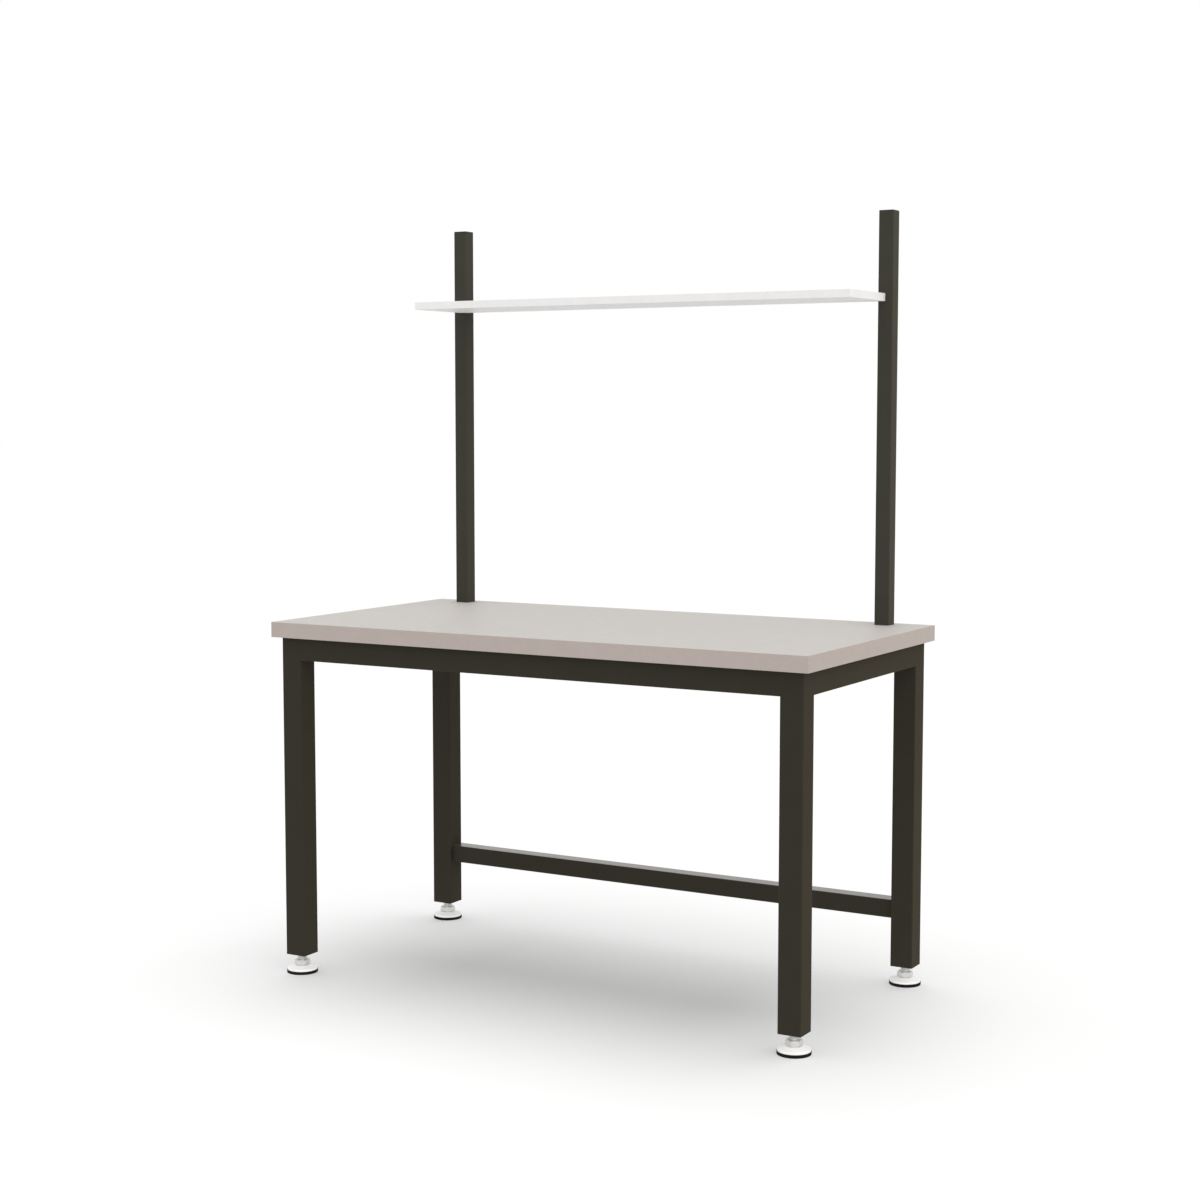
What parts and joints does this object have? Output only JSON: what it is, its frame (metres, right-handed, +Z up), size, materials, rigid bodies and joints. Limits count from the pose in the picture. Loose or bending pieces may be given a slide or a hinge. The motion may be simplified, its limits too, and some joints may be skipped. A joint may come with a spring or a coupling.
{
  "type": "workbench with overhead shelf",
  "caption": "Standing-height workbench: laminated worktop on a welded square-tube frame with screw levelling feet, and a shelf carried between rear posts.",
  "frame": {"origin": "on the floor, under the middle of the worktop", "axes": "+X along the bench to the right as seen from the front, +Y from front to back, +Z up"},
  "size_m": [1.54, 0.79, 2],
  "materials": {
    "frame_paint": "dark olive grey powder coat, satin",
    "worktop_laminate": "pale warm grey high pressure laminate, fine texture",
    "worktop_edge": "warm grey edge band, satin",
    "balancing_laminate": "plain brown grey backing laminate",
    "chipboard": "raw chipboard",
    "shelf_melamine": "white melamine faced board",
    "shelf_edge": "white edge band",
    "zinc_steel": "bright zinc plate",
    "foot_nylon": "white moulded nylon",
    "foot_rubber": "black rubber",
    "cap_plastic": "black moulded plastic"
  },
  "bodies": {
    "bench": {"leg_front_left": "frame_paint", "leg_front_right": "frame_paint", "leg_rear_left": "frame_paint", "leg_rear_right": "frame_paint", "rail_front": "frame_paint", "rail_rear": "frame_paint", "rail_left": "frame_paint", "rail_right": "frame_paint", "rear_stretcher": "frame_paint", "frame_welds": "frame_paint", "worktop_brackets": "frame_paint", "bracket_welds": "frame_paint", "post_left": "frame_paint", "post_right": "frame_paint", "shelf_crossbar": "frame_paint", "crossbar_welds": "frame_paint", "worktop_core": "chipboard", "worktop_laminate": "worktop_laminate", "worktop_backer": "balancing_laminate", "worktop_screws": "zinc_steel", "shelf_rods": "zinc_steel", "shelf_screws": "zinc_steel", "shelf_board": "shelf_melamine", "edge_band_front": "worktop_edge", "edge_band_rear": "worktop_edge", "edge_band_left": "worktop_edge", "edge_band_right": "worktop_edge", "shelf_band_front": "shelf_edge", "shelf_band_rear": "shelf_edge", "shelf_band_left": "shelf_edge", "shelf_band_right": "shelf_edge", "post_cap_left": "cap_plastic", "post_plug_left": "zinc_steel", "post_washer_left": "zinc_steel", "post_bolt_left": "zinc_steel", "rail_sleeve_left": "zinc_steel", "post_cap_right": "cap_plastic", "post_plug_right": "zinc_steel", "post_washer_right": "zinc_steel", "post_bolt_right": "zinc_steel", "rail_sleeve_right": "zinc_steel", "foot_socket_front_left": "zinc_steel", "foot_socket_front_right": "zinc_steel", "foot_socket_rear_left": "zinc_steel", "foot_socket_rear_right": "zinc_steel"},
    "foot_front_left": {"foot_base_front_left": "foot_nylon", "foot_pad_front_left": "foot_rubber"},
    "spindle_front_left": {"foot_spindle_front_left": "zinc_steel"},
    "foot_front_right": {"foot_base_front_right": "foot_nylon", "foot_pad_front_right": "foot_rubber"},
    "spindle_front_right": {"foot_spindle_front_right": "zinc_steel"},
    "foot_rear_left": {"foot_base_rear_left": "foot_nylon", "foot_pad_rear_left": "foot_rubber"},
    "spindle_rear_left": {"foot_spindle_rear_left": "zinc_steel"},
    "foot_rear_right": {"foot_base_rear_right": "foot_nylon", "foot_pad_rear_right": "foot_rubber"},
    "spindle_rear_right": {"foot_spindle_rear_right": "zinc_steel"}
  },
  "joints": [
    {"name": "travel_front_left", "type": "slide", "parent": "bench", "child": "foot_front_left", "axis": [0, 0, 1], "range_m": [-0.0121, 0.0121]},
    {"name": "turn_front_left", "type": "hinge", "parent": "foot_front_left", "child": "spindle_front_left", "pos_m": [-0.72, -0.345, 0.02], "axis": [0, 0, 1], "range_deg": [-1440, 1440]},
    {"name": "travel_front_right", "type": "slide", "parent": "bench", "child": "foot_front_right", "axis": [0, 0, 1], "range_m": [-0.0121, 0.0121]},
    {"name": "turn_front_right", "type": "hinge", "parent": "foot_front_right", "child": "spindle_front_right", "pos_m": [0.72, -0.345, 0.02], "axis": [0, 0, 1], "range_deg": [-1440, 1440]},
    {"name": "travel_rear_left", "type": "slide", "parent": "bench", "child": "foot_rear_left", "axis": [0, 0, 1], "range_m": [-0.0121, 0.0121]},
    {"name": "turn_rear_left", "type": "hinge", "parent": "foot_rear_left", "child": "spindle_rear_left", "pos_m": [-0.72, 0.345, 0.02], "axis": [0, 0, 1], "range_deg": [-1440, 1440]},
    {"name": "travel_rear_right", "type": "slide", "parent": "bench", "child": "foot_rear_right", "axis": [0, 0, 1], "range_m": [-0.0121, 0.0121]},
    {"name": "turn_rear_right", "type": "hinge", "parent": "foot_rear_right", "child": "spindle_rear_right", "pos_m": [0.72, 0.345, 0.02], "axis": [0, 0, 1], "range_deg": [-1440, 1440]}
  ],
  "couplings": [
    {"joint": "travel_front_left", "follows": "turn_front_left", "m_per_rad": 0.00047746},
    {"joint": "travel_front_right", "follows": "turn_front_right", "m_per_rad": 0.00047746},
    {"joint": "travel_rear_left", "follows": "turn_rear_left", "m_per_rad": 0.00047746},
    {"joint": "travel_rear_right", "follows": "turn_rear_right", "m_per_rad": 0.00047746}
  ]
}
